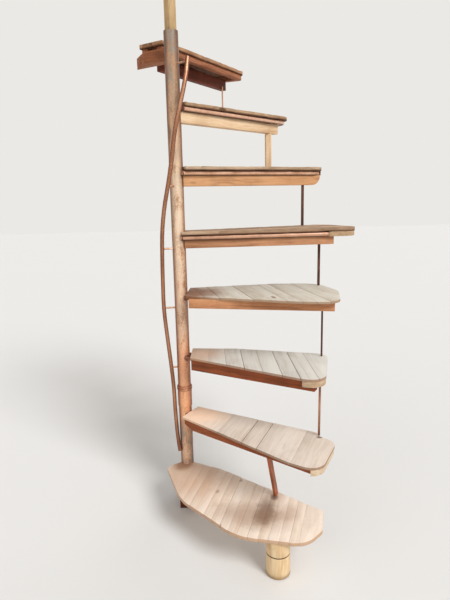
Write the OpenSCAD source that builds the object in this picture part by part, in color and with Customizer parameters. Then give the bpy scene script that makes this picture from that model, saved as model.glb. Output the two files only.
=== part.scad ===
// Hand-built spiral staircase: eight timber treads on bent steel frames round one steel tube.
// Millimetres, +Z up, origin at the centre of the foot plate's underside.
// +X points to the right of the stair's front, -Y towards someone standing in front of it.

/* [Treads] */
// Even height from one tread to the next
rise = 260; // [200:1:300]
// Height of the lowest tread's top above the floor
first_top = 165; // [140:1:220]
// Thickness of the boards on treads five to seven
deck_t = 16; // [12:1:30]
// Thickness of the boards on treads two to four
lower_deck_t = 10; // [8:1:20]
// Thickness of the boards on the lowest tread
first_deck_t = 14; // [12:1:40]
// Distance from the tube's axis to the inner end of the boards on treads five to seven
deck_start = 36; // [34:1:60]

/* [Tread frames] */
// Diameter of the bent steel tube under each tread
frame_d = 20; // [14:1:26]
// How far the boards reach past the outside of the bent tube
overhang = 12; // [6:1:20]
// Half the distance between the two frame ends where they meet the centre tube
frame_root = 16; // [14:1:17]
// Same distance for a limb that passes in front of the centre tube and is welded to its side
side_root = 34; // [32:1:35]
// Thickness of the bent nose strip under the round end of a tread
strip_t = 7; // [5:1:8]
// How far the nose strip stays back from the edge of the boards
strip_back = 2; // [1:1:4]
// Width of the timber bearer of each tread
bearer_w = 30; // [22:1:40]

/* [Centre tube] */
// Outside diameter of the centre tube
tube_d = 57; // [54:1:64]
// Wall of the centre tube
tube_wall = 4; // [3:0.5:6]
// How far the tube's open top stands above the landing tread
tube_over = 2; // [0:1:60]
// Height of the joint between the lower and the upper tube above the second tread
joint_above = 93; // [75:1:130]
// Wall of the sleeve below the joint
sleeve_wall = 2.5; // [2:0.5:6]
// Length of the sleeve
sleeve_l = 72; // [40:1:74]
// How far the two weld rings stand out from the tube
ring_out = 5; // [4:0.5:9]
// Height of the two weld rings together
ring_h = 22; // [18:1:44]

/* [Foot and top] */
// Side of the square foot plate
plate_w = 70; // [66:1:90]
// Thickness of the foot plate
plate_t = 8; // [6:1:12]
// Width of the timber block in front of the foot plate
block_w = 100; // [60:1:130]
// Length of that block, from front to back
block_l = 72; // [50:1:100]
// How far the block reaches to the left of the tube's axis
block_left = 30; // [10:1:40]
// Diameter of the round log under the lowest tread
log_d = 88; // [70:1:120]
// Height of the lower piece of the log
log_h = 87; // [60:1:100]
// Side of the square top post
post_w = 34; // [28:0.5:34]
// Length of the top post above the tube
post_l = 900; // [300:10:1200]
// Length of the top post inside the tube
post_socket = 100; // [60:1:200]

/* [Landing] */
// Thickness of the landing tread's boards
landing_deck_t = 18; // [14:1:30]
// Height of the square timber frame under the landing tread
landing_bar_h = 23; // [18:1:40]
// Width of the bars of that frame
landing_bar_w = 30; // [20:1:45]
// How far the bars stay back from the edge of the boards
landing_bar_in = 8; // [4:1:16]
// How far the near face of the landing tread's bearer passes behind the tube's axis
landing_bearer_back = 166; // [150:1:184]
// Depth of that bearer
landing_bearer_h = 50; // [40:1:80]
// Distance from the tube's axis to its inner end, along the tread
landing_bearer_start = 150; // [100:1:300]
// Length of that bearer
landing_bearer_l = 525; // [400:1:560]
// Width of the landing beam
beam_w = 60; // [40:1:80]
// Depth of the landing beam
beam_h = 46; // [36:1:70]
// Length of the landing beam's near face to the left of the tube
beam_left = 165; // [140:1:300]
// Distance from the tube's axis to the right end of the landing beam's near face
beam_right = 2; // [0:1:40]

/* [Grab rail] */
// Diameter of the round grab rail
rail_d = 17; // [12:1:18]
// Distance from the tube to the rail's centre line where it stands farthest off
rail_out = 46.5; // [40:0.5:60]
// Diameter of the pins that hold the rail off the tube
pin_d = 8; // [6:1:10]

/* [Hidden] */
$fn = 48;

// Clearance between timber and the tube that it is cut round
fit = 0.3;
tube_r = tube_d / 2;
frame_r = frame_d / 2;
// Distance from the edge of the boards to the frame tube's centre line
inset = overhang + frame_r;
// Small step past a face, so that a cut runs clean through it
cut = 1;
// Length and height of the weld rings on the bent tubes, and the root gap inside them
weld_w = 5;
weld_h = 0.6;
weld_gap = 1;

// Turn of each tread's centre line, in degrees anticlockwise from +X, seen from above
turn = [0, -50, -37, -22, -9.5, 13, 32, 52, 58];
// How far each tread sits off the even rise
lift = [0, 0, -4, 3, 7, 7, 8, -3, -4];

// The landing beam runs behind the tube, and the landing tread's frame lies on it
beam_turn = -32;
beam_back = tube_r + fit;
landing_start = beam_back + beam_w / 2;

// Corners [x, y, radius] of each tread's boards, with x along its centre line from the tube's
// axis. They run from the far inner corner outwards, round the nose and back on the near side.
// The lowest is a broad leaf with the tube at its inner end, tread two has a step in its far
// edge where a rod stands, and the landing tread lies wholly behind the tube.
outlines = [
    [],
    [[14, 12, 4], [150, 66, 120], [655, 165, 6], [727, 70, 20], [738, -30, 90],
     [546, -183, 240], [220, -198, 250], [-22, -100, 40], [-12, -20, 4]],
    [[30, 52, 3], [592, 119, 4], [604, 97, 4], [690, 84, 50], [734, -140, 55],
     [610, -148, 80], [44, -71, 3]],
    [[18, 60, 3], [222, 118, 200], [602, 158, 50], [658, -172, 60], [560, -166, 100],
     [66, -68, 3]],
    [[14, 118, 3], [392, 243, 260], [578, 254, 100], [663, 80, 120], [661, -160, 70],
     [520, -163, 120], [36, -78, 14]],
    [[deck_start, 55, 3], [710, 150, 70], [770, -152, 60], [4, -52, 3]],
    [[deck_start, 52, 3], [659, 160, 70], [715, -150, 60], [15, -58, 3]],
    [[deck_start, 60, 3], [659, 256, 50], [712, -138, 60], [18, -46, 3]],
    [[landing_start, 212, 3], [705, 290, 60], [745, 88, 30], [landing_start, 88, 3]]];
// Which two of those corners the frame tube bends round
nose = [[], [], [3, 4], [2, 3], [2, 4], [1, 2], [1, 2], [1, 2], [1, 2]];
// How much farther the frame stays back from the nose, where a loose end board or a rod stands
// outside it
pull_back = [0, 0, 13, 32, 0, 85, 0, 0, 0];
// How much farther its two corners stay in from the far edge and, to make room for the bearer,
// from the near edge
far_in = [0, 0, 0, 0, 0, 0, 0, 70, 0];
near_in = [0, 0, 60, 45, 65, 0, 0, 0, 0];
// Where the near limb of each frame ends
near_end = [0, 0, tube_r - 10, tube_r - 10, tube_r - 10, 4, 8, 18, 0];
near_root = [0, 0, frame_root, frame_root, frame_root, side_root, side_root, side_root, 0];
// Distance from the tube's axis to the inner end of each nose strip
strip_from = [0, 0, 693, 568, 0, 620, 693, 0, 0];

// Depth of each bearer, where it starts and ends, how far its near face stands in front of the
// tube's axis there, and its turn off the tread's centre line. Those of treads two to four lie
// right under the boards, in front of the frame, and the others under the frame, cut round the
// tube
bearer_h = [0, 0, 40, 44, 38, 34, 43, 44, 0];
bearer_start = [0, 0, 56, 72, 55, 19, 16, 8, 0];
bearer_l = [0, 0, 690, 618, 641, 654, 681, 636, 0];
bearer_side = [0, 0, 70, 62, 95, tube_r, tube_r, tube_r, 0];
bearer_skew = [0, 0, -2.4, -8.1, -1.8, -7.8, -7.8, -5.9, 0];
// Length of the bevel under each bearer's inner end
bearer_bevel = [0, 0, 46, 0, 0, 0, 0, 0, 0];
// Radius of the lower corner at each bearer's outer end
bearer_round = [0, 0, 0, 0, 0, 0, 40, 0, 0];
// Thickness of each spindle, and where it stands, in plan
spindle_d = [0, 27, 9, 8, 12, 13, 28, 7];
spindle_foot = [[], [377, -281], [546, -285], [586, -106], [609, 108], [0, 0], [0, 0], [0, 0]];
spindle_head = [[], [0, 0], [538, -332], [586, -106], [609, 108], [0, 0], [0, 0], [0, 0]];

// Top of tread n
function top_z(n) = first_top + rise * (n - 1) + lift[n];
// Thickness of its boards
function board_t(n) = n == 8 ? landing_deck_t : n > 4 ? deck_t : lower_deck_t;
// Top and bottom of its bearer
function bearer_top(n) =
    top_z(n) - board_t(n) - (n == 8 ? landing_bar_h : n > 4 ? frame_d : 0);
function bearer_bottom(n) =
    bearer_top(n) - (n == 8 ? landing_bearer_h : bearer_h[n]);

// Heights of the tube's top and of its joint
tube_top = top_z(8) + tube_over;
joint_z = top_z(2) + joint_above;
sleeve_d = tube_d + 2 * sleeve_wall;
ring_d = tube_d + 2 * ring_out;

function unit(v) = v / norm(v);

// The round corner at c, between its neighbours p and q: centre, first angle and sweep
function bend(p, c, q) =
    let (
        a = unit([p[0] - c[0], p[1] - c[1]]),
        b = unit([q[0] - c[0], q[1] - c[1]]),
        half = acos(a * b) / 2,
        centre = [c[0], c[1]] + unit(a + b) * c[2] / sin(half),
        reach_back = c[2] / tan(half),
        first = [c[0], c[1]] + a * reach_back - centre,
        last = [c[0], c[1]] + b * reach_back - centre,
        turned = atan2(first[0] * last[1] - first[1] * last[0], first * last)
    )
    [centre, atan2(first[1], first[0]), turned];

// Point on a bend at share s of its sweep
function bend_point(b, r, s) = b[0] + r * [cos(b[1] + b[2] * s), sin(b[1] + b[2] * s)];

// A closed outline of corners [x, y, radius], with each round corner as an arc
function rounded(corners, steps = 8) =
    let (n = len(corners))
    [for (i = [0 : n - 1])
        let (c = corners[i], b = bend(corners[(i + n - 1) % n], c, corners[(i + 1) % n]))
        for (k = [0 : c[2] > 0 ? steps : 0])
            c[2] > 0 ? bend_point(b, c[2], k / steps) : [c[0], c[1]]];

// Corners [x, y, radius] of a closed outline, with every side moved inwards by g
function inset_by(corners, g) =
    let (n = len(corners))
    [for (i = [0 : n - 1])
        let (
            c = corners[i], p = corners[(i + n - 1) % n], q = corners[(i + 1) % n],
            a = unit([p[0] - c[0], p[1] - c[1]]),
            b = unit([q[0] - c[0], q[1] - c[1]]),
            moved = [c[0], c[1]] + unit(a + b) * g / sin(acos(a * b) / 2)
        )
        [moved[0], moved[1], max(c[2] - g, 0)]];

// Corners of tread n, pulled in by g
function tread_corners(n, g = 0) = inset_by(outlines[n], g);

// Places a piece in the frame of tread n, with z = 0 on the tread's top
module at_tread(n) {
    translate([0, 0, top_z(n)])
        rotate([0, 0, turn[n]])
            children();
}

// A round bar of diameter d between two points in plan
module bar(p, q, d) {
    run = [q[0] - p[0], q[1] - p[1]];
    translate([p[0], p[1], 0])
        rotate([0, 0, atan2(run[1], run[0])])
            rotate([0, 90, 0])
                cylinder(h = norm(run), d = d);
}

// The point at distance s from p on the way to q
function toward(p, q, s) = p + s * unit(q - p);

// A bent tube of diameter d along open corners [x, y, radius], with a low weld ring at each
// end of a bend
module bent_tube(corners, d) {
    last = len(corners) - 1;
    bends = [for (i = [1 : last - 1]) bend(corners[i - 1], corners[i], corners[i + 1])];
    ends = concat(
        [[corners[0][0], corners[0][1]]],
        [for (i = [1 : last - 1]) each [bend_point(bends[i - 1], corners[i][2], 0),
                                        bend_point(bends[i - 1], corners[i][2], 1)]],
        [[corners[last][0], corners[last][1]]]);
    for (i = [0 : last - 1]) {
        a = ends[2 * i];
        b = ends[2 * i + 1];
        bar(toward(a, b, i > 0 ? weld_gap : 0), toward(b, a, i < last - 1 ? weld_gap : 0), d);
        if (i > 0)
            bar(toward(a, b, -weld_w / 2), toward(a, b, weld_w / 2), d + 2 * weld_h);
        if (i < last - 1)
            bar(toward(b, a, weld_w / 2), toward(b, a, -weld_w / 2), d + 2 * weld_h);
    }
    for (i = [1 : last - 1])
        translate(bends[i - 1][0])
            rotate([0, 0, bends[i - 1][1] + min(bends[i - 1][2], 0)])
                rotate_extrude(angle = abs(bends[i - 1][2]))
                    translate([corners[i][2], 0])
                        circle(d = d);
}

// The room that the centre tube takes, with a clearance
module tube_room() {
    translate([0, 0, -rise])
        cylinder(h = tube_top + 2 * rise, r = tube_r + fit);
}

module foot_plate() {
    color([0.36, 0.27, 0.22])
        translate([-plate_w / 2, -plate_w / 2, 0])
            cube([plate_w, plate_w, plate_t]);
}

module lower_tube() {
    color([0.62, 0.45, 0.36])
        translate([0, 0, plate_t])
            difference() {
                cylinder(h = joint_z - plate_t, d = tube_d);
                translate([0, 0, -cut])
                    cylinder(h = joint_z + 2 * cut, d = tube_d - 2 * tube_wall);
            }
}

module upper_tube() {
    color([0.70, 0.48, 0.36])
        translate([0, 0, joint_z])
            difference() {
                cylinder(h = tube_top - joint_z, d = tube_d);
                translate([0, 0, -cut])
                    cylinder(h = tube_top + 2 * cut, d = tube_d - 2 * tube_wall);
            }
}

module joint_sleeve() {
    color([0.66, 0.46, 0.35])
        translate([0, 0, joint_z - sleeve_l])
            difference() {
                cylinder(h = sleeve_l, d = sleeve_d);
                translate([0, 0, -cut])
                    cylinder(h = sleeve_l + 2 * cut, d = tube_d + 2 * fit);
            }
}

// Two round weld beads, one over the other, on a collar that sits on the sleeve
module weld_rings() {
    bead = ring_h * 0.56;
    color([0.74, 0.52, 0.40])
        translate([0, 0, joint_z])
            difference() {
                union() {
                    cylinder(h = ring_h, d = ring_d - 5);
                    for (z = [bead / 2, ring_h - bead / 2])
                        translate([0, 0, z])
                            rotate_extrude()
                                translate([(ring_d - bead) / 2, 0])
                                    circle(d = bead);
                }
                translate([0, 0, -cut])
                    cylinder(h = ring_h + 2 * cut, r = tube_r + fit);
            }
}

// The block stands on the floor, close in front of the foot plate
module base_block() {
    color([0.52, 0.33, 0.25])
        translate([-block_left, -plate_w / 2 - 5 - block_l, 0])
            cube([block_w, block_l, first_top - first_deck_t]);
}

// The round log stands under the broad end of the lowest tread
log_at = [628, -55];
module log_piece(z, h) {
    translate([log_at[0] * cos(log_at[1]), log_at[0] * sin(log_at[1]), z])
        cylinder(h = h, d = log_d);
}

module log_lower() {
    color([0.82, 0.66, 0.47])
        log_piece(0, log_h);
}

module log_upper() {
    color([0.80, 0.65, 0.45])
        log_piece(log_h, first_top - first_deck_t - log_h);
}

module top_post() {
    color([0.80, 0.72, 0.55])
        translate([0, 0, tube_top - post_socket])
            rotate([0, 0, -47])
                translate([-post_w / 2, -post_w / 2, 0])
                    cube([post_w, post_w, post_socket + post_l]);
}

// Short timber behind the tube, with a long bevel across each end
module landing_beam() {
    bevel = beam_w * 1.5;
    color([0.64, 0.38, 0.27])
        translate([0, 0, bearer_top(8) - beam_h])
            rotate([0, 0, beam_turn])
                linear_extrude(beam_h)
                    polygon([
                        [-beam_left, beam_back], [beam_right, beam_back],
                        [beam_right - beam_w * 0.8, beam_back + beam_w],
                        [-beam_left - bevel, beam_back + beam_w]]);
}

// Stations along the grab rail from its foot to its top: height above the lowest tread, counted
// in rises, turn, and share of its greatest distance from the tube
rail_stations = [
    [0.25, -140, 0.2], [0.42, -158, 0.22], [0.62, -170, 0.28], [0.98, -175, 0.37],
    [1.4, -175, 0.42], [1.83, -175, 0.59], [2.29, -175, 0.81], [2.75, -174, 1], [3.21, -167, 1],
    [3.6, -158, 1], [3.98, -149, 1], [4.37, -132, 1], [4.75, -112, 1],
    [5.13, -97, 1], [5.52, -85, 1], [5.9, -66, 1], [6.29, -44, 1],
    [6.6, -27, 0.94]];

function spline(p, i, s) =
    let (
        last = len(p) - 1,
        a = p[max(i - 1, 0)], b = p[i], c = p[min(i + 1, last)], d = p[min(i + 2, last)]
    )
    0.5 * (2 * b + (c - a) * s + (2 * a - 5 * b + 4 * c - d) * s * s
           + (3 * b - a - 3 * c + d) * s * s * s);

// Point, in space, on the grab rail's centre line at share t of its length in stations
function rail_point(t) =
    let (
        last = len(rail_stations) - 1,
        at = min(max(t * last, 0), last - 0.0001),
        q = spline(rail_stations, floor(at), at - floor(at)),
        r = tube_r + q[2] * rail_out
    )
    [r * cos(q[1]), r * sin(q[1]), first_top + rise * q[0]];

rail_sides = 12;
rail_rings = 48;

// The rail is one round bar bent along the stations
module grab_rail() {
    ring = [for (i = [0 : rail_rings])
        let (
            t = i / rail_rings,
            p = rail_point(t),
            w = unit(rail_point(min(t + 0.002, 1)) - rail_point(max(t - 0.002, 0))),
            u = unit(cross([0, 1, 0], w)),
            v = cross(w, u)
        )
        for (k = [0 : rail_sides - 1])
            p + rail_d / 2 * (cos(360 * k / rail_sides) * u + sin(360 * k / rail_sides) * v)];
    walls = [for (i = [0 : rail_rings - 1]) for (k = [0 : rail_sides - 1])
        let (a = i * rail_sides + k, b = i * rail_sides + (k + 1) % rail_sides)
        each [[a, a + rail_sides, b], [b, a + rail_sides, b + rail_sides]]];
    foot = [for (k = [0 : rail_sides - 1]) k];
    tip = [for (k = [0 : rail_sides - 1]) rail_rings * rail_sides + rail_sides - 1 - k];
    color([0.48, 0.30, 0.22])
        polyhedron(points = ring, faces = concat(walls, [foot, tip]), convexity = 8);
}

// Heights of the pins between the tube and the rail, counted in rises as well
pin_at = [1.75, 2.78, 3.76, 4.735, 5.73, 6.51];

// Share of the rail's length at height z, between the stations that hold it
function rail_share(z, i = 0) =
    rail_stations[i + 1][0] >= z || i + 2 >= len(rail_stations)
        ? (i + (z - rail_stations[i][0]) / (rail_stations[i + 1][0] - rail_stations[i][0]))
          / (len(rail_stations) - 1)
        : rail_share(z, i + 1);

module rail_pins() {
    color([0.55, 0.36, 0.27])
        for (z = pin_at) {
            p = rail_point(rail_share(z));
            out = norm([p[0], p[1]]);
            translate([0, 0, p[2]])
                rotate([0, 0, atan2(p[1], p[0])])
                    rotate([0, 90, 0])
                        difference() {
                            cylinder(h = out - rail_d / 2 - fit, d = pin_d);
                            translate([0, 0, -cut])
                                cylinder(h = tube_r - 1 + cut, d = 2 * pin_d);
                            rotate([0, 90, 0])
                                cylinder(h = 4 * tube_d, r = tube_r + fit, center = true);
                        }
        }
}

module tread_1() {
    color([0.80, 0.66, 0.54])
        difference() {
            at_tread(1)
                translate([0, 0, -first_deck_t])
                    linear_extrude(first_deck_t)
                        polygon(rounded(tread_corners(1)));
            tube_room();
        }
}

// The boards of treads two to eight, cut round the tube where they reach it. The landing tread's
// inner end rests on the landing beam
module deck(n) {
    color([0.68, 0.60, 0.52])
        difference() {
            at_tread(n)
                translate([0, 0, -board_t(n)])
                    linear_extrude(board_t(n))
                        polygon(rounded(tread_corners(n)));
            tube_room();
        }
}

// The bent tube frame: out on one side, round the nose and back on the other side
module tread_frame(n) {
    corners = tread_corners(n, inset);
    far = corners[nose[n][0]] - [pull_back[n], far_in[n], 0];
    near = corners[nose[n][1]] - [pull_back[n], -near_in[n], 0];
    color([0.56, 0.34, 0.25])
        difference() {
            at_tread(n)
                translate([0, 0, -board_t(n) - frame_r])
                    bent_tube([[tube_r - 10, frame_root, 0], far, near,
                               [near_end[n], -near_root[n], 0]], frame_d);
            tube_room();
        }
}

// The landing tread's frame is three square bars, and their inner ends lie on the landing beam
module landing_frame() {
    outer = tread_corners(8, landing_bar_in);
    inner = tread_corners(8, landing_bar_in + landing_bar_w);
    back = landing_bar_in + landing_bar_w + cut;
    slope = (inner[1][1] - inner[0][1]) / (inner[1][0] - inner[0][0]);
    color([0.62, 0.36, 0.28])
        at_tread(8)
            translate([0, 0, -landing_deck_t - landing_bar_h])
                linear_extrude(landing_bar_h)
                    difference() {
                        polygon(rounded(outer));
                        polygon([
                            [inner[0][0] - back, inner[0][1] - back * slope],
                            [inner[1][0], inner[1][1]],
                            [inner[2][0], inner[2][1]],
                            [inner[3][0] - back, inner[3][1]]]);
                    }
}

// Timber bearer along the near side
module bearer(n) {
    color([0.60, 0.36, 0.25])
        difference() {
            at_tread(n)
                translate([0, -bearer_side[n], bearer_top(n) - top_z(n)])
                    rotate([0, 0, bearer_skew[n]])
                        translate([0, bearer_w, 0])
                            rotate([90, 0, 0])
                                linear_extrude(bearer_w)
                                    polygon(rounded([
                                        [bearer_start[n], 0, 0], [bearer_l[n], 0, 0],
                                        [bearer_l[n], -bearer_h[n], bearer_round[n]],
                                        [bearer_start[n] + bearer_bevel[n], -bearer_h[n], 0],
                                        [bearer_start[n], -bearer_h[n] / 2, 0]]));
            tube_room();
        }
}

// The landing tread's bearer hangs under the far and the outer bar of its frame
module landing_bearer() {
    color([0.52, 0.27, 0.20])
        at_tread(8)
            translate([landing_bearer_start, landing_bearer_back,
                       -landing_deck_t - landing_bar_h - landing_bearer_h])
                cube([landing_bearer_l, bearer_w, landing_bearer_h]);
}

// Thin strip bent round the nose, under the boards and outside the frame
module nose_strip(n) {
    h = frame_d + (n > 4 ? 0 : 4);
    color([0.80, 0.70, 0.56])
        at_tread(n)
            translate([0, 0, -board_t(n) - h])
                linear_extrude(h)
                    intersection() {
                        difference() {
                            polygon(rounded(tread_corners(n, strip_back)));
                            polygon(rounded(tread_corners(n, strip_back + strip_t)));
                        }
                        translate([strip_from[n], -rise])
                            square([rise, 2 * rise]);
                    }
}

// The point p, in the frame of tread n, as seen from above in the stair's own frame
function in_plan(n, p) =
    [p[0] * cos(turn[n]) - p[1] * sin(turn[n]), p[0] * sin(turn[n]) + p[1] * cos(turn[n])];

// Point in plan under bearer n, at distance s along it and w behind its near face
function bearer_point(n, s, w = bearer_w / 2) =
    in_plan(n, [s * cos(bearer_skew[n]) - w * sin(bearer_skew[n]),
                -bearer_side[n] + s * sin(bearer_skew[n]) + w * cos(bearer_skew[n])]);

// A round rod that leans from foot to head, in plan, with its ends cut square
module rod(foot, head, low, high, d) {
    lean = [head[0] - foot[0], head[1] - foot[1], high - low];
    tilt = acos(lean[2] / norm(lean));
    translate([foot[0], foot[1], low + d / 2 * sin(tilt)])
        rotate([0, tilt, atan2(lean[1], lean[0])])
            cylinder(h = (lean[2] - d * sin(tilt)) / cos(tilt), d = d);
}

// A flat or square bar between two points in plan, cut level at its foot and its head
module flat_bar(foot, head, low, high, d, w, face) {
    lean = [head[0] - foot[0], head[1] - foot[1], high - low];
    middle = (foot + head) / 2;
    intersection() {
        translate([middle[0], middle[1], (low + high) / 2])
            rotate([0, acos(lean[2] / norm(lean)), atan2(lean[1], lean[0])])
                rotate([0, 0, face])
                    cube([w, d, 2 * norm(lean)], center = true);
        translate([middle[0] - rise, middle[1] - rise, low])
            cube([2 * rise, 2 * rise, high - low]);
    }
}

// The lowest upright is a flat bar, the sixth a square timber, and the others are round rods.
// The second stands in the step of tread two. It, the third and the fourth rise to the boards of
// the tread above, and the top one laps on the bearer
module upright_between(n) {
    d = spindle_d[n];
    low = top_z(n);
    if (n == 1)
        flat_bar(spindle_foot[1], bearer_point(2, 487), low, bearer_bottom(2), d, 10, 90);
    if (n == 2 || n == 3 || n == 4)
        rod(spindle_foot[n], spindle_head[n], low, top_z(n + 1) - board_t(n + 1), d);
    if (n == 5)
        rod(bearer_point(6, 597), bearer_point(6, 597), low, bearer_bottom(6), d);
    if (n == 6)
        flat_bar(bearer_point(7, 578), bearer_point(7, 578), low, bearer_bottom(7), d, d, 3);
    if (n == 7)
        rod(in_plan(8, [landing_bearer_start + landing_bearer_l - 42, landing_bearer_back - d / 2]),
            in_plan(8, [landing_bearer_start + landing_bearer_l - 42, landing_bearer_back - d / 2]),
            low, bearer_bottom(8) + 14, d);
}

module spindle(n) {
    color(n == 6 ? [0.84, 0.74, 0.60] : [0.36, 0.24, 0.18])
        upright_between(n);
}

foot_plate();
lower_tube();
upper_tube();
joint_sleeve();
weld_rings();
base_block();
log_lower();
log_upper();
top_post();
landing_beam();
grab_rail();
rail_pins();
tread_1();
deck(2);  // tread_2
deck(3);  // tread_3
deck(4);  // tread_4
deck(5);  // tread_5
deck(6);  // tread_6
deck(7);  // tread_7
deck(8);  // tread_8
tread_frame(2);  // frame_2
tread_frame(3);  // frame_3
tread_frame(4);  // frame_4
tread_frame(5);  // frame_5
tread_frame(6);  // frame_6
tread_frame(7);  // frame_7
landing_frame();  // frame_8
bearer(2);  // bearer_2
bearer(3);  // bearer_3
bearer(4);  // bearer_4
bearer(5);  // bearer_5
bearer(6);  // bearer_6
bearer(7);  // bearer_7
landing_bearer();  // bearer_8
nose_strip(2);  // nose_strip_2
nose_strip(3);  // nose_strip_3
nose_strip(5);  // nose_strip_5
nose_strip(6);  // nose_strip_6
spindle(1);  // spindle_1
spindle(2);  // spindle_2
spindle(3);  // spindle_3
spindle(4);  // spindle_4
spindle(5);  // spindle_5
spindle(6);  // spindle_6
spindle(7);  // spindle_7
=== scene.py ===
import math

import bpy
from mathutils import Matrix, Vector, noise


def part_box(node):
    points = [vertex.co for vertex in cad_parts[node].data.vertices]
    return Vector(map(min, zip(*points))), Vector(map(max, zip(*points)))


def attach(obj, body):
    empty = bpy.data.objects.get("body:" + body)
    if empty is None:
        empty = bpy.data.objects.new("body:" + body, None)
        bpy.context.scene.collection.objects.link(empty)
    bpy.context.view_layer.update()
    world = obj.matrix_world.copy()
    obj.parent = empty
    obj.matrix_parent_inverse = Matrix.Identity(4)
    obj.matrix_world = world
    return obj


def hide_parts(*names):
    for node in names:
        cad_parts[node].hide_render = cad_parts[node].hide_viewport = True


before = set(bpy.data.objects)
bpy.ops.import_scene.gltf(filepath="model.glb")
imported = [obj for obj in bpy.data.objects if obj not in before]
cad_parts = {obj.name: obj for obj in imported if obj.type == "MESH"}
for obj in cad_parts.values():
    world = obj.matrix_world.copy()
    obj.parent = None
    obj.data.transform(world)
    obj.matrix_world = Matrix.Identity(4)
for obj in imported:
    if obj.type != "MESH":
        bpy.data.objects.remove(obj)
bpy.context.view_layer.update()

# The stage: a plain pale floor under soft light. The camera stands where the photograph was
# taken from, chest high in front of the stair and a little right of the tube, looking slightly
# down and hardly tilted.
camera_place = (0.188, -2.128, 1.345)
camera_pitch = -11.43
camera_roll = -1.26
focal_pixels, picture_pixels, sensor_mm = 505.2, 600, 36
floor_metres = 40
floor_colour, floor_roughness = "e3e3e2", 0.9
room_light, room_strength = "fbf6f0", 0.52
backdrop_colour = "ebe9e5"
# Each lamp's name, the side it shines from, its spread in degrees and its strength.
lamps = [("window_side", (0.52, -0.62, 0.70), 24, 2.25),
         ("window_behind", (0.55, 0.75, 0.62), 40, 0.35),
         ("room_left", (-0.65, -0.60, 0.55), 50, 0.35)]


def linear(hex_colour):
    """An sRGB hex colour as Blender's linear one."""
    channels = []
    for place in (0, 2, 4):
        c = int(hex_colour[place:place + 2], 16) / 255
        channels.append(c / 12.92 if c <= 0.04045 else ((c + 0.055) / 1.055) ** 2.4)
    return (*channels, 1.0)


def add(tree, kind, sockets=None, stops=None, **settings):
    """A new node with its settings. A socket takes a value or a link, and stops fill a ramp."""
    made = tree.nodes.new(kind)
    for key, value in settings.items():
        setattr(made, key, value)
    for key, value in (sockets or {}).items():
        if isinstance(value, bpy.types.NodeSocket):
            tree.links.new(value, made.inputs[key])
        else:
            made.inputs[key].default_value = value
    if stops:
        ramp = made.color_ramp.elements
        while len(ramp) < len(stops):
            ramp.new(1.0)
        for stop, (place, colour) in zip(ramp, stops):
            stop.position = place
            stop.color = linear(colour)
    return made


def deselect():
    for thing in bpy.context.selected_objects:
        thing.select_set(False)


deselect()
camera_data = bpy.data.cameras.new("camera")
camera_data.lens = focal_pixels / picture_pixels * sensor_mm
camera_data.sensor_width = sensor_mm
camera = bpy.data.objects.new("camera", camera_data)
bpy.context.scene.collection.objects.link(camera)
pitched = Matrix.Rotation(math.radians(90 + camera_pitch), 4, "X")
rolled = Matrix.Rotation(math.radians(camera_roll), 4, "Z")
camera.matrix_world = Matrix.Translation(camera_place) @ pitched @ rolled
bpy.context.scene.camera = camera
bpy.context.scene.view_settings.view_transform = "Standard"

bpy.ops.mesh.primitive_plane_add(size=floor_metres, location=(0, 0, 0))
floor = bpy.context.active_object
floor.name = "floor"
floor_paint = bpy.data.materials.new("matt_pale_floor")
floor_paint.use_nodes = True
paint = floor_paint.node_tree.nodes["Principled BSDF"]
paint.inputs["Base Color"].default_value = linear(floor_colour)
paint.inputs["Roughness"].default_value = floor_roughness
floor.data.materials.append(floor_paint)

# The pale backdrop shows in the picture and in gloss, and the plain room light falls on the rest.
world = bpy.data.worlds.new("studio")
bpy.context.scene.world = world
world.use_nodes = True
sky = world.node_tree
sky.nodes.clear()
ray = add(sky, "ShaderNodeLightPath")
seen_or_glossy = add(sky, "ShaderNodeMath", {0: ray.outputs["Is Camera Ray"],
                                             1: ray.outputs["Is Glossy Ray"]}, operation="ADD")
shows = add(sky, "ShaderNodeMath", {0: seen_or_glossy.outputs[0],
                                    1: ray.outputs["Is Transmission Ray"]},
            operation="ADD", use_clamp=True)
room = add(sky, "ShaderNodeBackground", {"Color": linear(room_light),
                                         "Strength": room_strength})
backdrop = add(sky, "ShaderNodeBackground", {"Color": linear(backdrop_colour), "Strength": 1.0})
either = add(sky, "ShaderNodeMixShader", {0: shows.outputs[0], 1: room.outputs[0],
                                          2: backdrop.outputs[0]})
add(sky, "ShaderNodeOutputWorld", {"Surface": either.outputs[0]})

for name, comes_from, spread, strength in lamps:
    lamp_data = bpy.data.lights.new(name, "SUN")
    lamp_data.angle = math.radians(spread)
    lamp_data.energy = strength
    lamp = bpy.data.objects.new(name, lamp_data)
    bpy.context.scene.collection.objects.link(lamp)
    lamp.rotation_euler = Vector(comes_from).to_track_quat("Z", "Y").to_euler()


# The lowest tread: a broad leaf of about sixteen narrow pine staves, sawn to one outline after
# they were fixed side by side. Feet have worn it, and in front of the leaning bar lies a brown
# band, partly an old water stain and partly the bar's painted shadow.
tread_turns = {1: -50, 2: -37, 3: -22, 4: -9.5, 5: 13, 6: 32, 7: 52, 8: 58}
stave_turn = -56
stave_seams = [58, 104, 148, 190, 236, 282, 330, 374, 418, 466, 512, 556, 602, 646, 686]
stave_gaps = [0.2, 0.1, 0.3, 0.1, 0.2, 0.3, 0.7, 0.2, 0.3, 0.8, 0.2, 0.3, 0.2, 0.6, 0.3]
stave_wear = 1.4


def select_only(thing):
    deselect()
    bpy.context.view_layer.objects.active = thing
    thing.select_set(True)


def open_edit(thing):
    select_only(thing)
    bpy.ops.object.mode_set(mode="EDIT")
    bpy.ops.mesh.select_all(action="SELECT")


def close_edit():
    bpy.ops.object.mode_set(mode="OBJECT")


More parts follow.
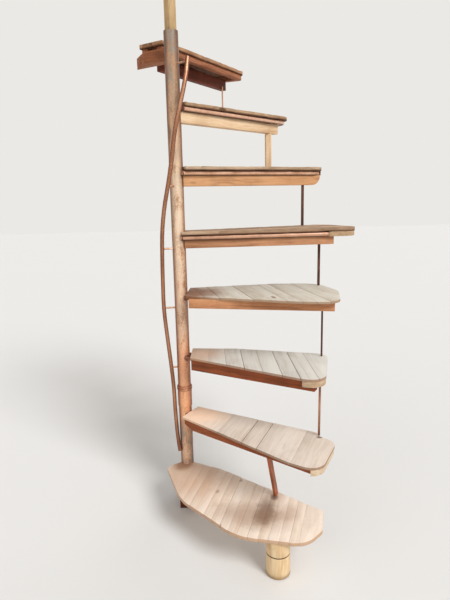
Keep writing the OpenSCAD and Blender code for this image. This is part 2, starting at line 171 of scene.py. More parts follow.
def copy_of(node, name):
    """A copy of a CAD piece, with its loose triangles merged into flat faces."""
    merge_metres, flat_degrees = 0.00001, 0.6
    made = bpy.data.objects.new(name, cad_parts[node].data.copy())
    bpy.context.scene.collection.objects.link(made)
    made.data.materials.clear()
    open_edit(made)
    bpy.ops.mesh.remove_doubles(threshold=merge_metres)
    bpy.ops.mesh.dissolve_limited(angle_limit=math.radians(flat_degrees))
    close_edit()
    return made


def rounded_edges(thing, width, segments=2):
    """Rounds the sharp edges by width metres, and shades the rounding smooth."""
    sharp_degrees, smooth_degrees = 35, 32
    select_only(thing)
    rounding = thing.modifiers.new("rounding", "BEVEL")
    rounding.width = width
    rounding.segments = segments
    rounding.limit_method = "ANGLE"
    rounding.angle_limit = math.radians(sharp_degrees)
    rounding.use_clamp_overlap = False
    bpy.ops.object.modifier_apply(modifier=rounding.name)
    bpy.ops.object.shade_smooth_by_angle(angle=math.radians(smooth_degrees))


def joined(things, name):
    deselect()
    for thing in things:
        thing.select_set(True)
    bpy.context.view_layer.objects.active = things[0]
    if len(things) > 1:
        bpy.ops.object.join()
    things[0].name = name
    return things[0]


def outward(turn):
    """The level direction that points turn degrees from the x axis."""
    return Vector((math.cos(math.radians(turn)), math.sin(math.radians(turn)), 0))


def left_of(direction):
    return Vector((-direction.y, direction.x, 0))


def cut_at_seams(whole, normal, seams):
    """The tread cut into boards, by their numbers. A seam is two points, where the board before
    it ends and where the next one starts."""
    boards = {}
    for i in range(len(seams) + 1):
        board = whole.copy()
        board.data = whole.data.copy()
        bpy.context.scene.collection.objects.link(board)
        open_edit(board)
        if i > 0:
            bpy.ops.mesh.bisect(plane_co=seams[i - 1][1], plane_no=normal, use_fill=True,
                                clear_inner=True)
            bpy.ops.mesh.select_all(action="SELECT")
        if i < len(seams):
            bpy.ops.mesh.bisect(plane_co=seams[i][0], plane_no=normal, use_fill=True,
                                clear_outer=True)
        close_edit()
        if board.data.polygons:
            boards[i] = board
        else:
            bpy.data.objects.remove(board)
    bpy.data.objects.remove(whole)
    return boards


def tone_board(board, wave):
    """Stores a tone from 0 to 1 on the board's faces, which its timber reads."""
    for face in board.data.attributes.new("board", "FLOAT", "FACE").data:
        face.value = 0.5 + 0.5 * math.sin(wave)


def sawn_into_boards(node, name, turn, seam, places, gaps, wear):
    """The tread's outline cut along seams. seam is their direction, in degrees from the tread's
    centre line, and places are where they cross it. The boards lie a little out of line, along
    the seams by up to wear and in height. places, gaps and wear are in millimetres."""
    normal = outward(turn + seam - 90)
    if normal.dot(outward(turn)) < 0:
        normal = -normal
    seams = []
    for place, gap in zip(places, gaps):
        crossing = outward(turn) * place / 1000
        seams.append((crossing - normal * gap / 2000, crossing + normal * gap / 2000))
    boards = cut_at_seams(copy_of(node, name + "_whole"), normal, seams)
    low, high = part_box(node)
    half_drop, top_layer = 0.0004, 0.004
    # Sines of unlike steps stand in for chance.
    slip_step, drop_step, tone_step = 5.3, 3.7, 2.4
    for i, board in boards.items():
        slip = left_of(normal) * wear * math.sin(i * slip_step + turn) / 1000
        drop = half_drop * (1 + math.sin(i * drop_step + turn))
        for corner in board.data.vertices:
            corner.co += slip
            corner.co.x = min(max(corner.co.x, low.x), high.x)
            corner.co.y = min(max(corner.co.y, low.y), high.y)
            if corner.co.z > high.z - top_layer:
                corner.co.z -= drop
        tone_board(board, i * tone_step + turn * 0.7 + 1)
    return joined(list(boards.values()), name)


# The inputs of a Mix node: one pair is for numbers and one for colours.
factor, number_a, number_b, colour_a, colour_b = 0, 2, 3, 6, 7


def timber(name, grain_turn, pale, middle, dark, stain, stain_share=0.35, fibre_mm=7, band_mm=26,
           roughness=0.8, upright=False, split_share=0.5, knot_share=0.85, contrast=1.0, painted_edge_shade=None,
           marks=()):
    """Bare or stained softwood. Long fibres and wider growth bands run along the grain, a few
    knots and drying splits break them, and dirt lies in soft patches. Real fibres are finer
    than a millimetre and are drawn coarser, to show in the render. The colour given for the edges
    is a painted shade on the upright faces, and each mark is a soft patch of colour, a stain or a
    painted shade: its middle, its half sizes, its turn, its colour and its strength."""
    finish = bpy.data.materials.new(name)
    finish.use_nodes = True
    tree = finish.node_tree
    shader = tree.nodes["Principled BSDF"]

    # The grain's own axes, x along the fibres. Each board comes from another place in the log,
    # metres away, and no grain runs quite straight.
    boards_apart, bow = (5.3, 2.1, 1.7), 0.05
    place = add(tree, "ShaderNodeTexCoord").outputs["Object"]
    turned = (0, math.radians(90), 0) if upright else (0, 0, math.radians(-grain_turn))
    grain = add(tree, "ShaderNodeMapping", {"Vector": place, "Rotation": turned})
    board = add(tree, "ShaderNodeAttribute", attribute_name="board")
    shift = add(tree, "ShaderNodeVectorMath", {0: board.outputs["Color"], 1: boards_apart},
                operation="MULTIPLY")
    laid = add(tree, "ShaderNodeVectorMath", {0: grain.outputs[0], 1: shift.outputs[0]})
    wander = add(tree, "ShaderNodeTexNoise", {"Vector": laid.outputs[0], "Scale": 3.0,
                                              "Detail": 2.0})
    bowed = add(tree, "ShaderNodeVectorMath",
                {0: wander.outputs["Color"], 1: (0.0, bow, bow)}, operation="MULTIPLY")
    curved = add(tree, "ShaderNodeVectorMath", {0: laid.outputs[0], 1: bowed.outputs[0]})

    # How many of each come in a metre, along the grain and across it. Fibres and bands count
    # alike, blotches less, and each board has a tone of its own.
    blotches_per_metre, blotch_share, board_share, mid_tone = 6.0, 0.28, 0.10, 0.54
    spaced = {}
    for feature, along, across in [("fibre", 6.0, 1000 / fibre_mm), ("band", 1.6, 1000 / band_mm),
                                   ("knot", 3.2, 9.0), ("split", 2.2, 90.0)]:
        spaced[feature] = add(tree, "ShaderNodeVectorMath",
                              {0: curved.outputs[0], 1: (along, across, across)},
                              operation="MULTIPLY").outputs[0]
    fibres = add(tree, "ShaderNodeTexNoise", {"Vector": spaced["fibre"], "Scale": 1.0,
                                              "Detail": 4.0, "Roughness": 0.65})
    bands = add(tree, "ShaderNodeTexNoise", {"Vector": spaced["band"], "Scale": 1.0,
                                             "Detail": 3.0, "Roughness": 0.55})
    blotch = add(tree, "ShaderNodeTexNoise", {"Vector": laid.outputs[0],
                                              "Scale": blotches_per_metre, "Detail": 3.0})
    figure = add(tree, "ShaderNodeMix", {factor: 0.5, number_a: fibres.outputs["Fac"],
                                         number_b: bands.outputs["Fac"]})
    figure = add(tree, "ShaderNodeMix", {factor: blotch_share, number_a: figure.outputs[0],
                                         number_b: blotch.outputs["Fac"]})
    tone = add(tree, "ShaderNodeMath", {0: board.outputs["Fac"], 1: board_share,
                                        2: figure.outputs[0]}, operation="MULTIPLY_ADD")
    wood = add(tree, "ShaderNodeValToRGB", {0: tone.outputs[0]},
               stops=[(mid_tone - 0.20 / contrast, dark), (mid_tone, middle),
                      (mid_tone + 0.18 / contrast, pale)])

    # Knots lie in the middle of their cells, splits open where the drawn-out noise is highest,
    # and dirt gathers in patches of about a hand's width.
    knot_heart, knot_rim = 0.055, 0.10
    split_starts, split_open = 0.66, 0.72
    dirt_per_metre, dirt_starts, dirt_full = 9.0, 0.50, 0.78
    cell = add(tree, "ShaderNodeTexVoronoi", {"Vector": spaced["knot"], "Scale": 1.0})
    knots = add(tree, "ShaderNodeMapRange", {"Value": cell.outputs["Distance"],
                                             "From Min": knot_heart, "From Max": knot_rim,
                                             "To Min": knot_share, "To Max": 0.0})
    slits = add(tree, "ShaderNodeTexNoise", {"Vector": spaced["split"], "Scale": 1.0,
                                             "Detail": 1.0})
    splits = add(tree, "ShaderNodeMapRange", {"Value": slits.outputs["Fac"],
                                              "From Min": split_starts, "From Max": split_open,
                                              "To Min": 0.0, "To Max": split_share})
    dirt = add(tree, "ShaderNodeTexNoise", {"Vector": place, "Scale": dirt_per_metre,
                                            "Detail": 5.0, "Roughness": 0.7})
    soiled = add(tree, "ShaderNodeMapRange", {"Value": dirt.outputs["Fac"],
                                              "From Min": dirt_starts, "From Max": dirt_full,
                                              "To Min": 0.0, "To Max": stain_share})
    layers = [(knots, stain), (splits, dark), (soiled, stain)]
    # Painted edge shade: the upright faces are darkened, for the shade on the boards' sides.
    if painted_edge_shade:
        painted_edge_shade_share, painted_edge_shade_full, painted_edge_shade_ends = 0.75, 0.35, 0.85
        facing = add(tree, "ShaderNodeSeparateXYZ",
                     {0: add(tree, "ShaderNodeTexCoord").outputs["Normal"]})
        level = add(tree, "ShaderNodeMath", {0: facing.outputs["Z"]}, operation="ABSOLUTE")
        painted_edge_shade_mask = add(tree, "ShaderNodeMapRange", {"Value": level.outputs[0],
                                                   "From Min": painted_edge_shade_full,
                                                   "From Max": painted_edge_shade_ends,
                                                   "To Min": painted_edge_shade_share, "To Max": 0.0})
        layers.append((painted_edge_shade_mask, painted_edge_shade))
    mark_core, mark_rim, mark_raggedness = 0.7, 1.5, 0.9
    for centre, half_sizes, mark_turn, colour, strength in marks:
        centred = add(tree, "ShaderNodeMapping", {"Vector": place, "Location": centre,
                                                  "Rotation": (0, 0, math.radians(mark_turn)),
                                                  "Scale": half_sizes}, vector_type="TEXTURE")
        off = add(tree, "ShaderNodeVectorMath", {0: centred.outputs[0]}, operation="LENGTH")
        ragged = add(tree, "ShaderNodeMath", {0: dirt.outputs["Fac"], 1: mark_raggedness,
                                              2: off.outputs["Value"]}, operation="MULTIPLY_ADD")
        inside = add(tree, "ShaderNodeMapRange", {"Value": ragged.outputs[0],
                                                  "From Min": mark_core, "From Max": mark_rim,
                                                  "To Min": strength, "To Max": 0.0},
                     interpolation_type="SMOOTHSTEP")
        layers.append((inside, colour))

    # Each layer lies over those before it. The splits are sunk, and the fibres stand proud.
    split_depth, relief_metres, relief_strength = -0.8, 0.0009, 0.25
    coat = wood.outputs[0]
    for cover, colour in layers:
        coat = add(tree, "ShaderNodeMix", {factor: cover.outputs[0], colour_a: coat,
                                           colour_b: linear(colour)},
                   data_type="RGBA").outputs[2]
    tree.links.new(coat, shader.inputs["Base Color"])
    dull = add(tree, "ShaderNodeMapRange", {"Value": figure.outputs[0],
                                            "To Min": roughness + 0.08,
                                            "To Max": roughness - 0.10})
    tree.links.new(dull.outputs[0], shader.inputs["Roughness"])
    height = add(tree, "ShaderNodeMath", {0: splits.outputs[0], 1: split_depth,
                                          2: figure.outputs[0]}, operation="MULTIPLY_ADD")
    bump = add(tree, "ShaderNodeBump", {"Strength": relief_strength, "Distance": relief_metres,
                                        "Height": height.outputs[0]})
    tree.links.new(bump.outputs[0], shader.inputs["Normal"])
    shader.inputs["Specular IOR Level"].default_value = 0.2
    return finish


# The marks on the staves: a tan shade and a darker one by the tube, a brown band in three washes
# that is partly an old water stain and partly the leaning bar's painted shadow, a painted shadow
# under the leaning bar's foot, and two knots.
stave_stains_and_painted_shadows = [((0.02, -0.14, 0.16), (0.22, 0.25, 1.0), 20, "c9a589", 0.7),
               ((-0.02, -0.03, 0.16), (0.06, 0.06, 1.0), 20, "98694d", 0.75),
               ((0.27, -0.42, 0.16), (0.19, 0.10, 1.0), -20, "a98b76", 0.65),
               ((0.325, -0.400, 0.16), (0.055, 0.130, 1.0), -16, "78563f", 0.75),
               ((0.410, -0.410, 0.16), (0.060, 0.080, 1.0), -16, "b3937c", 0.5),
               ((0.370, -0.300, 0.16), (0.020, 0.030, 1.0), -20, "6b4632", 0.75),
               ((0.239, -0.172, 0.16), (0.016, 0.009, 1.0), -106, "7d604e", 0.55),
               ((0.140, -0.252, 0.16), (0.018, 0.010, 1.0), -106, "85685a", 0.5)]
leaf = sawn_into_boards("tread_1", "lowest_tread_staves", tread_turns[1], stave_turn, stave_seams,
                        stave_gaps, stave_wear)
rounded_edges(leaf, width=0.0004)
# The colour given for the edges is a painted shade on the staves' upright sides.
leaf.data.materials.append(
    timber("worn_pine_staves", tread_turns[1] + stave_turn, "f8ebdd", "efdecd", "d2b69b",
           "a98468", stain_share=0.24, fibre_mm=10, band_mm=34, roughness=0.72, contrast=0.75,
           split_share=0.25, painted_edge_shade="b58a64", marks=stave_stains_and_painted_shadows))
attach(leaf, "root")
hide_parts("tread_1")


# Treads two to four: short pale boards laid across the frame and cut off along its outline, grey
# and dry from the weather, with open seams. Each has a mark at the tube, darker further up,
# where less light and fewer feet reach.
cross_board_wear = 0.3
rod_foot_mark = ((0.545, -0.300, 0.43), (0.014, 0.014, 0.1), 0, "4a2f22", 0.8)
# The colour given for the edges in each row is a painted shade on the boards' upright sides.
for n, seam, places, gaps, colours, painted_edge_shade, contrast, tube_mark in [
        (2, -75, [232, 357, 428, 582], [0.2, 2.0, 2.2, 0.2],
         ("ece1d5", "dccdbf", "bba998"), "8a6344", 0.8,
         ((0.06, -0.05, 0.42), (0.17, 0.17, 1.0), 0, "f7d2b4", 0.8)),
        (3, -66, [121, 198, 274, 348, 423, 490, 562], [0.2, 0.6, 2.0, 0.7, 1.6, 2.0, 0.6],
         ("e0ded8", "d5d1c9", "b9b0a4"), "94643f", 0.7,
         ((0.06, -0.03, 0.68), (0.17, 0.17, 1.0), 0, "bd9576", 0.7)),
        (4, -67, [80, 141, 205, 271, 339, 396, 450, 503, 560, 612],
         [1.0, 1.0, 0.8, 1.0, 0.7, 1.0, 0.7, 1.0, 0.8, 0.7],
         ("e2ddd3", "d0c9bb", "aa9a87"), "9a7350", 0.85,
         ((0.04, 0.0, 0.95), (0.19, 0.19, 1.0), 0, "7c4e33", 0.88))]:
    deck = sawn_into_boards(f"tread_{n}", f"tread_{n}_boards", tread_turns[n], seam, places,
                            gaps, cross_board_wear)
    rounded_edges(deck, width=0.0006)
    deck.data.materials.append(
        timber(f"weathered_boards_{n}", tread_turns[n] + seam, *colours, "8b6c52",
               stain_share=0.18, fibre_mm=9, band_mm=32, roughness=0.82, contrast=contrast,
               split_share=0.35, painted_edge_shade=painted_edge_shade, marks=[tube_mark, rod_foot_mark]))
    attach(deck, "root")
    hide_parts(f"tread_{n}")


# Treads five to eight: longer boards that run out from the tube beside each other. They are tan
# and grey, with the saw's streaks along them, and their outer edges are hacked and a little wavy.
# Their undersides and lower edges are darkened with a painted shade.
wave_cuts, wave_cut_apart = range(2, 36), 0.022
waves_per_metre, chips_per_metre = 16, 40
under_wave, top_chip, side_chip, skin = 0.0060, 0.0020, 0.0030, 0.001
long_board_step = 2.9


def hack_edges(whole, n, base, middle_line, low, high):
    """Makes a tread's edges wavy and chipped. It is first cut across every 22 mm along base, so
    that its edges have points to move. middle_line is how far left of base its middle runs."""
    open_edit(whole)
    for cut in wave_cuts:
        bpy.ops.mesh.bisect(plane_co=base * cut * wave_cut_apart, plane_no=base)
        bpy.ops.mesh.select_all(action="SELECT")
    close_edit()
    for corner in whole.data.vertices:
        wave = noise.noise(Vector((corner.co.x * waves_per_metre,
                                   corner.co.y * waves_per_metre, n * 3.7)))
        chip = noise.noise(Vector((corner.co.x * chips_per_metre,
                                   corner.co.y * chips_per_metre, n * 5.1)))
        across = corner.co.dot(left_of(base)) - middle_line
        if corner.co.z < low.z + skin:
            corner.co.z += under_wave * max(0.0, wave + 0.3 * chip)
        elif corner.co.z > high.z - skin:
            corner.co.z -= top_chip * max(0.0, chip)
        corner.co -= left_of(base) * math.copysign(side_chip, across) * max(0.0, 0.2 + chip)


for n, askew, places, gaps, colours in [
        (5, 0, [-70, 0, 74], [1.2, 1.2, 1.2], ("c9ad92", "a88a70", "745a45")),
        (6, 0, [-66, 4, 78], [1.2, 1.2, 1.2], ("cfb79e", "b19579", "79604b")),
        (7, 7, [-48, 38, 122, 186], [1.2, 1.4, 1.2, 1.2], ("c4a686", "9d7d60", "6a4f3a")),
        (8, 7, [136, 186, 238], [1.4, 1.4, 1.4], ("c99f78", "a1775a", "6b4834"))]:
    base = outward(tread_turns[n])
    lay = tread_turns[n] + askew
    low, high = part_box(f"tread_{n}")
    whole = copy_of(f"tread_{n}", f"tread_{n}_whole")
    hack_edges(whole, n, base, (places[0] + places[-1]) / 2000, low, high)
    seams = [(left_of(base) * (place - gap / 2) / 1000, left_of(base) * (place + gap / 2) / 1000)
             for place, gap in zip(places, gaps)]
    boards = cut_at_seams(whole, left_of(outward(lay)), seams)
    for i, board in boards.items():
        tone_board(board, i * long_board_step + n)
    deck = joined(list(boards.values()), f"tread_{n}_boards")
    rounded_edges(deck, width=0.0013)
    # A painted shade on the underside and on the lowest few millimetres of the edges.
    painted_underside_shade = ((0, 0, low.z), (9, 9, 0.007), 0, "5e3b28", 0.85)
    deck.data.materials.append(
        timber(f"tan_boards_{n}", lay, *colours, "4c382a", band_mm=24, marks=[painted_underside_shade]))
    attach(deck, "root")
    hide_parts(f"tread_{n}")


# The nose strips: thin pale strips of bent wood, nailed round the outer end of a tread to close
# the gap between the boards and the bearer.
strip_lay = 60
for n, colours in [(2, ("efe0ca", "dcc7ab", "b7997a")), (3, ("dcc5a6", "bfa486", "93775c")),
                   (5, ("d8bd9b", "bc9d7b", "8f7156")), (6, ("d4b896", "b89a79", "8b6e53"))]:
    strip = copy_of(f"nose_strip_{n}", f"nose_strip_{n}_bent")
    rounded_edges(strip, width=0.0010)
    strip.data.materials.append(
        timber(f"bent_pale_strip_{n}", strip_lay, *colours, "7d5c42", stain_share=0.2,
               fibre_mm=6, band_mm=18, roughness=0.7))
    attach(strip, "root")
    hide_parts(f"nose_strip_{n}")


# The bearers: one sawn batten to each tread. It lies right under the boards, in front of the
# frame, on treads two to four, and further up under the frame, cut round the centre tube. Most
# carry an old red-brown stain, and the seventh is new pine.
for n, direction, colours in [
        (2, -39.4, ("b4693d", "985330", "5f311c")), (3, -30.1, ("b1653b", "944e2c", "5a2e1a")),
        (4, -11.3, ("dca67c", "c98c63", "8f5b3c")), (5, 5.2, ("dcaa82", "c8916a", "8f6043")),
        (6, 24.2, ("e6b68a", "d29d70", "9f6d4a")), (7, 46.1, ("f4dcbd", "e8c8a3", "c29b74")),
        (8, 58.0, ("8f4c32", "743a28", "4a2217"))]:
    batten = copy_of(f"bearer_{n}", f"bearer_{n}_batten")
    rounded_edges(batten, width=0.0018)
    batten.data.materials.append(
        timber(f"stained_batten_{n}" if n != 7 else "new_pine_batten", direction, *colours,
               "3f2418" if n != 7 else "96704c", stain_share=0.3, fibre_mm=5, band_mm=14,
               roughness=0.66))
    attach(batten, "root")
    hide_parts(f"bearer_{n}")


# The frames: mild steel tube, bent cold into a long hairpin and left bare, so that it has rusted
# to a soft brown. The upper ones are paler. A painted shade darkens the top and bottom of each,
# where the boards and the bearer rest on it.


def rusted_steel(name, bright, middle, dark, grey, grey_share=0.3, grey_from=0.52, patch_mm=60,
                 roughness=0.55, bare=0.25, mottle=1.0, grey_below=None, grey_above=None,
                 heights=None, painted_contact_shade=None, painted_side_shade=None, lit_from=(0.20, -0.98, 0)):
    """Bare mild steel under an even coat of rust: warm brown with darker pitted specks and
    brighter patches, and with grey mill scale in patches. grey_below and grey_above are the
    heights between which the scale thins out. heights tints the rust, at metres above the floor.
    The painted contact shade darkens the top and bottom faces of a bar, where the shade between it
    and the timber falls, and the painted side shade darkens the side turned away from lit_from, so
    that the side turned towards it shows as a painted highlight."""
    finish = bpy.data.materials.new(name)
    finish.use_nodes = True
    tree = finish.node_tree
    shader = tree.nodes["Principled BSDF"]
    place = add(tree, "ShaderNodeTexCoord").outputs["Object"]
    normal = add(tree, "ShaderNodeTexCoord").outputs["Normal"]
    height = add(tree, "ShaderNodeSeparateXYZ", {0: place}).outputs["Z"]

    # Rust and scale run down the steel, so their patches are longer than they are wide. Small
    # pits break them up.
    drawn_out, pits_per_metre, pit_share, mid_rust = 0.30, 190.0, 0.3, 0.50
    stretched = add(tree, "ShaderNodeVectorMath", {0: place, 1: (1.0, 1.0, drawn_out)},
                    operation="MULTIPLY")
    patch = add(tree, "ShaderNodeTexNoise", {"Vector": stretched.outputs[0],
                                             "Scale": 1000 / patch_mm, "Detail": 5.0,
                                             "Roughness": 0.62})
    speck = add(tree, "ShaderNodeTexNoise", {"Vector": place, "Scale": pits_per_metre,
                                             "Detail": 3.0, "Roughness": 0.7})
    pitted = add(tree, "ShaderNodeMix", {factor: pit_share, number_a: patch.outputs["Fac"],
                                         number_b: speck.outputs["Fac"]})
    rust = add(tree, "ShaderNodeValToRGB", {0: pitted.outputs[0]},
               stops=[(mid_rust - 0.14 / mottle, dark), (mid_rust, middle),
                      (mid_rust + 0.16 / mottle, bright)])
    scale = add(tree, "ShaderNodeTexNoise", {"Vector": stretched.outputs[0],
                                             "Scale": 600 / patch_mm, "Detail": 6.0,
                                             "Roughness": 0.7})
    scaled = add(tree, "ShaderNodeMapRange", {"Value": scale.outputs["Fac"],
                                              "From Min": grey_from, "From Max": grey_from + 0.14,
                                              "To Min": 0.0, "To Max": grey_share})
    if grey_below and grey_above:
        thin = 0.15
        low = add(tree, "ShaderNodeMapRange", {"Value": height, "From Min": grey_below[0],
                                               "From Max": grey_below[1],
                                               "To Min": 1.0, "To Max": thin})
        high = add(tree, "ShaderNodeMapRange", {"Value": height, "From Min": grey_above[0],
                                                "From Max": grey_above[1],
                                                "To Min": thin, "To Max": 1.0})
        most = add(tree, "ShaderNodeMath", {0: low.outputs[0], 1: high.outputs[0]},
                   operation="MAXIMUM")
        scaled = add(tree, "ShaderNodeMath", {0: most.outputs[0], 1: scaled.outputs[0]},
                     operation="MULTIPLY")

    layers = [(scaled.outputs[0], linear(grey), "MIX")]
    if heights:
        # The patches shift the tint's height, by this much on average and about as much to
        # either side, so that its borders are ragged.
        mean_shift, tinted_metres = 0.15, 2
        ragged = add(tree, "ShaderNodeMath", {0: patch.outputs["Fac"], 1: 2 * mean_shift,
                                              2: height}, operation="MULTIPLY_ADD")
        risen = add(tree, "ShaderNodeMapRange", {"Value": ragged.outputs[0],
                                                 "From Min": mean_shift,
                                                 "From Max": mean_shift + tinted_metres})
        tint = add(tree, "ShaderNodeValToRGB", {0: risen.outputs[0]},
                   stops=[(metres / tinted_metres, colour) for metres, colour in heights])
        layers.insert(0, (1.0, tint.outputs[0], "MULTIPLY"))
    # Painted contact shade: faces that look straight up or down are darkened, for the shade in the
    # lines between a bar and the timber on it.
    if painted_contact_shade:
        painted_contact_shade_share, painted_contact_shade_starts, painted_contact_shade_full = 0.9, 0.55, 0.85
        upright = add(tree, "ShaderNodeSeparateXYZ", {0: normal})
        level = add(tree, "ShaderNodeMath", {0: upright.outputs["Z"]}, operation="ABSOLUTE")
        painted_contact_shade_mask = add(tree, "ShaderNodeMapRange", {"Value": level.outputs[0],
                                                 "From Min": painted_contact_shade_starts,
                                                 "From Max": painted_contact_shade_full,
                                                 "To Min": 0.0, "To Max": painted_contact_shade_share})
        layers.append((painted_contact_shade_mask.outputs[0], linear(painted_contact_shade), "MIX"))
    # Painted side shade: the side turned away from lit_from is darkened, and the side turned
    # towards it stays bright as a painted highlight.
    if painted_side_shade:
        painted_side_shade_share, painted_side_shade_ends, painted_side_shade_raggedness = 0.95, 0.72, -0.8
        facing = add(tree, "ShaderNodeVectorMath", {0: normal, 1: lit_from},
                     operation="DOT_PRODUCT")
        uneven = add(tree, "ShaderNodeMath", {0: patch.outputs["Fac"], 1: painted_side_shade_raggedness,
                                              2: facing.outputs["Value"]},
                     operation="MULTIPLY_ADD")
        behind = add(tree, "ShaderNodeMapRange", {"Value": uneven.outputs[0],
                                                  "From Min": 0.0, "From Max": painted_side_shade_ends,
                                                  "To Min": painted_side_shade_share, "To Max": 0.0},
                     interpolation_type="SMOOTHSTEP")
        layers.append((behind.outputs[0], linear(painted_side_shade), "MULTIPLY"))

    relief_metres, relief_strength = 0.0008, 0.3
    coat = rust.outputs[0]
    for cover, colour, blend in layers:
        coat = add(tree, "ShaderNodeMix", {factor: cover, colour_a: coat, colour_b: colour},
                   data_type="RGBA", blend_type=blend).outputs[2]
    tree.links.new(coat, shader.inputs["Base Color"])
    gloss = add(tree, "ShaderNodeMapRange", {"Value": pitted.outputs[0],
                                             "From Min": 0.35, "From Max": 0.65,
                                             "To Min": roughness + 0.18,
                                             "To Max": roughness - 0.08})
    tree.links.new(gloss.outputs[0], shader.inputs["Roughness"])
    shader.inputs["Metallic"].default_value = bare
    bump = add(tree, "ShaderNodeBump", {"Strength": relief_strength, "Distance": relief_metres,
                                        "Height": pitted.outputs[0]})
    tree.links.new(bump.outputs[0], shader.inputs["Normal"])
    return finish


def dress(node, finish):
    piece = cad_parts[node]
    piece.data.materials.clear()
    piece.data.materials.append(finish)


for n, colours in [(2, ("a8714c", "87523a", "56301f")), (3, ("a8714c", "87523a", "56301f")),
                   (4, ("b27d58", "8f5c40", "5d3624")), (5, ("dfb89a", "cb9a7d", "9c6c52")),
                   (6, ("f4ccae", "dfad8c", "a87656")), (7, ("f4cfb6", "dbab8e", "96654e"))]:
    dress(f"frame_{n}", rusted_steel(f"bare_bent_tube_{n}", *colours, "8d8078",
                                     grey_share=0.12, patch_mm=90, roughness=0.38, mottle=0.7,
                                     painted_contact_shade="40261b"))


# The welds at the frames' inner ends: a lumpy bead of run metal round each limb, where it meets
# the centre tube. They are darker than the tube, partly as weld metal left as it cooled and partly
# as a painted shade where the limbs meet the tube. The nearer limb of the upper frames lies
# against the tube's side, and the others run into the tube.
far_start, near_start, beside_tube = (0.0185, 0.016), (0.0185, -0.016), (0.010, -0.034)
bead_reach, bead_radius, bead_thickness = 0.0305, 0.0105, 0.0026
bead_lump, lumps_per_metre = 0.0012, 260
bead_steel = rusted_steel("run_weld_metal", "96684c", "6b452f", "38231a", "5b5048",
                          patch_mm=8, roughness=0.45, bare=0.3)
for n, frame_height, limbs in [
        (2, 0.401, [(far_start, (0.658, 0.065)), (near_start, (0.695, -0.060))]),
        (3, 0.668, [(far_start, (0.552, 0.134)), (near_start, (0.600, -0.103))]),
        (4, 0.932, [(far_start, (0.565, 0.231)), (near_start, (0.639, -0.073))]),
        (5, 1.186, [(far_start, (0.607, 0.125)), (beside_tube, (0.657, -0.126))]),
        (6, 1.447, [(far_start, (0.641, 0.135)), (beside_tube, (0.688, -0.124))]),
        (7, 1.696, [(far_start, (0.641, 0.157)), (beside_tube, (0.686, -0.112))])]:
    turned = Matrix.Rotation(math.radians(tread_turns[n]), 4, "Z")
    beads = []
    for limb_start, limb_end in limbs:
        spot = Vector((*limb_start, 0))
        run = (Vector((*limb_end, 0)) - spot).normalized()
        if limb_start != beside_tube:
            out_of_tube = math.sqrt(bead_reach ** 2 - limb_start[1] ** 2)
            spot += run * ((out_of_tube - spot.x) / run.x)
        spot = turned @ spot
        spot.z = frame_height
        deselect()
        bpy.ops.mesh.primitive_torus_add(
            location=spot, rotation=(turned @ run).to_track_quat("Z", "Y").to_euler(),
            major_segments=40, minor_segments=8, major_radius=bead_radius,
            minor_radius=bead_thickness)
        bead = bpy.context.active_object
        bpy.ops.object.transform_apply(location=True, rotation=True, scale=True)
        for point in bead.data.vertices:
            lump = noise.noise(point.co * lumps_per_metre)
            point.co += (point.co - spot).normalized() * bead_lump * lump
        bpy.ops.object.shade_smooth()
        beads.append(bead)
    welds = joined(beads, f"frame_{n}_welds")
    welds.data.materials.append(bead_steel)
    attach(welds, "root")


# The centre tube: second-hand steel pipe in two lengths, welded end to end over a sleeve. It is
# copper-brown with rust, with grey scale on its lowest part and a greenish grey near the top.
# The tints along the tube's height are partly its rust and partly a painted highlight, palest at
# about 1.35 m, and a painted side shade darkens all but its front, which shows as a painted
# highlight.
pipe = rusted_steel("rusty_pipe", "ffffff", "fbf2ea", "b58f74", "8f8d84", grey_share=0.9,
                    grey_from=0.44, patch_mm=30, roughness=0.28, mottle=1.1,
                    grey_below=(0.32, 0.40), grey_above=(1.40, 1.80),
                    heights=[(0.20, "f5dcc6"), (0.32, "f0c5a2"), (0.40, "ffc79d"),
                             (0.68, "f2b48a"), (0.76, "f4d2b6"), (1.35, "ffeed6"),
                             (1.66, "e0bc9a"), (1.95, "ae8c70")],
                    painted_side_shade="9c7355", lit_from=(0.08, -1.0, 0))
for node in ("lower_tube", "upper_tube", "joint_sleeve"):
    dress(node, pipe)
# The weld metal at the joint carries a painted side shade too, darkening its side turned away from
# the front.
dress("weld_rings", rusted_steel("weld_metal", "e8b18a", "c98a64", "8a5439", "8c7c70",
                                 patch_mm=14, roughness=0.34, bare=0.35, painted_side_shade="b08a74"))


# The grab rail: one round bar bent by eye so that it winds half round the tube, on short pins
# that are welded to both. It is darker than the tube, and polished a little by hands.
# A painted side shade darkens the side of the rail turned away from the front.
dress("grab_rail", rusted_steel("hand_worn_bar", "dba680", "a8704f", "5a3526", "6d5c52",
                                grey_share=0.2, patch_mm=70, roughness=0.30, bare=0.45,
                                painted_side_shade="9a786c"))
dress("rail_pins", rusted_steel("rubbed_pin", "e6c4a8", "cc9d7e", "8f6048", "8d8078",
                                grey_share=0.2, patch_mm=20, roughness=0.34, bare=0.35))


# The foot of the tube: a plain steel plate on the floor, and close in front of it a block of old
# red-stained timber that carries the inner end of the lowest tread.
dress("foot_plate", rusted_steel("dark_plate", "6b4a3a", "4d3329", "2e1e18", "5a5049",
                                 patch_mm=40, roughness=0.6, bare=0.3))
block = copy_of("base_block", "timber_foot_block")
rounded_edges(block, width=0.0020)
block.data.materials.append(timber("red_stained_block", 0, "8f5640", "6f3d2c", "45241a",
                                   "2f1a13", stain_share=0.4, fibre_mm=6, band_mm=20))
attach(block, "root")
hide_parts("base_block")


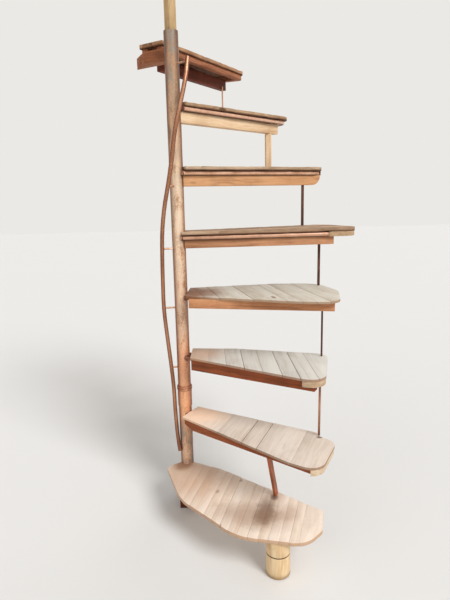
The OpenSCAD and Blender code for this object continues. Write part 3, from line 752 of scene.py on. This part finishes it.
# The log: a peeled round of pine in two pieces, one standing on the other, under the broad end
# of the lowest tread. Its edges are rubbed round. A painted shade darkens the joint between the
# pieces, and the foot is darker towards the floor.
# A painted shade along the joint, and the foot darker towards the floor.
log_joint_shade_and_dark_foot = [((0.352, -0.563, 0.087), (2, 2, 0.0032), 0, "3a2413", 0.95),
             ((0.352, -0.563, 0.0), (2, 2, 0.022), 0, "8a6a48", 0.7)]
for node, name in (("log_lower", "log_lower_peeled"), ("log_upper", "log_upper_peeled")):
    log = copy_of(node, name)
    rounded_edges(log, width=0.0055, segments=4)
    log.data.materials.append(
        timber(f"peeled_{node}", 0, "f3dfbe", "e4c9a0", "bd9568", "8c6238", stain_share=0.45,
               fibre_mm=8, band_mm=30, roughness=0.62, upright=True, marks=log_joint_shade_and_dark_foot))
    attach(log, "root")
    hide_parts(node)


# The top post: a square of raw pale timber that stands in the open end of the tube, and leads
# up out of reach.
post = copy_of("top_post", "top_post_square")
rounded_edges(post, width=0.0025, segments=3)
post.data.materials.append(timber("raw_pale_post", 0, "dcc49b", "c8a97e", "96764f", "6d5236",
                                  fibre_mm=5, band_mm=14, roughness=0.7, upright=True))
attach(post, "root")
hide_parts("top_post")


# The landing: a short beam behind the tube and three square bars on it carry the top tread. Both
# are old red-brown timber.
for node, name, direction, colours in [
        ("landing_beam", "landing_beam_sawn", -32, ("bd7f5a", "9a5f3e", "5f3522")),
        ("frame_8", "landing_frame_bars", 58, ("c48a68", "a66c4d", "6d3f2b"))]:
    bar = copy_of(node, name)
    rounded_edges(bar, width=0.0018)
    bar.data.materials.append(timber(f"{name}_timber", direction, *colours, "3f2418",
                                     stain_share=0.3, fibre_mm=5, band_mm=16, roughness=0.7,
                                     knot_share=0.25))
    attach(bar, "root")
    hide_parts(node)


# The spindles: a leaning flat bar, thin round rods and one square of new pine, each set between
# the outer ends of two treads.
dress("spindle_1", rusted_steel("leaning_flat_bar", "cf8058", "ab6240", "6b3822", "5d4a40",
                                grey_share=0.1, patch_mm=40, bare=0.3))
dress("spindle_2", rusted_steel("brown_rod", "c08a68", "9c6449", "5f3726", "6d5c52",
                                grey_share=0.2, patch_mm=50, roughness=0.4, bare=0.3))
# The thin rods' dark colour is partly their rust and partly a painted shade, as they stand against
# the light.
painted_shade_rod_steel = rusted_steel("thin_rod_painted_shade", "875742", "5a372a", "301e18", "52453c", patch_mm=50,
                         roughness=0.45, bare=0.4)
for n in (3, 4, 5):
    dress(f"spindle_{n}", painted_shade_rod_steel)
dress("spindle_7", rusted_steel("bright_rod", "efc8a4", "d8a57f", "a8714f", "8d8078",
                                grey_share=0.2, patch_mm=40, roughness=0.4))
stick = copy_of("spindle_6", "square_stick")
rounded_edges(stick, width=0.0015)
stick.data.materials.append(timber("new_pine_stick", 0, "f3dbbd", "e8caa6", "c9a37c", "a57c55",
                                   stain_share=0.2, fibre_mm=5, band_mm=12, roughness=0.7,
                                   upright=True))
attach(stick, "root")
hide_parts("spindle_6")
